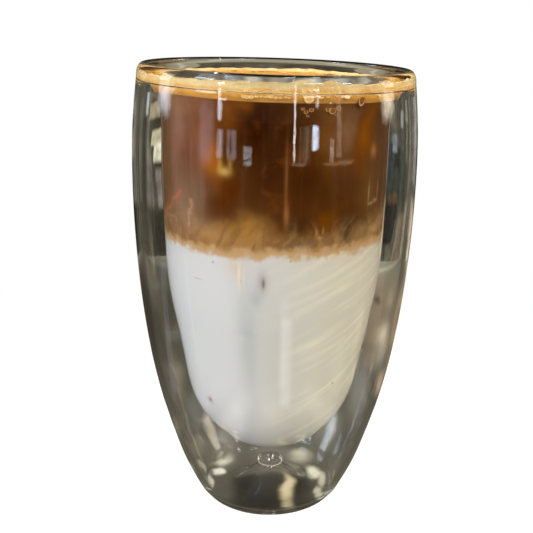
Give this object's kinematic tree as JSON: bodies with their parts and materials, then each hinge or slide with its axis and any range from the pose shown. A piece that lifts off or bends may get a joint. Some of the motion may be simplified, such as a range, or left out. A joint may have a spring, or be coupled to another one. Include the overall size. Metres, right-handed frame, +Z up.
{
  "type": "latte in a double-walled glass",
  "caption": "Tall clear double-walled glass filled with a layered latte: milk below, coffee above it and a golden foam on top.",
  "frame": {"origin": "on the surface that the glass stands on, below the middle of its base", "axes": "+Z up along the glass's axis, out of its mouth; -Y is the side that the picture shows, +X is to the right in it"},
  "size_m": [0.0896, 0.0896, 0.145],
  "materials": {
    "glass": "clear polished borosilicate glass",
    "vent_seal": "translucent, satin",
    "milk": "opaque milk, smooth",
    "coffee": "dark brown to amber coffee, marbled with milk low down",
    "foam": "fine golden foam with bubbles"
  },
  "bodies": {
    "root": {"glass": "glass", "vent_seal": "vent_seal", "milk": "milk", "coffee": "coffee", "foam": "foam"}
  },
  "joints": []
}
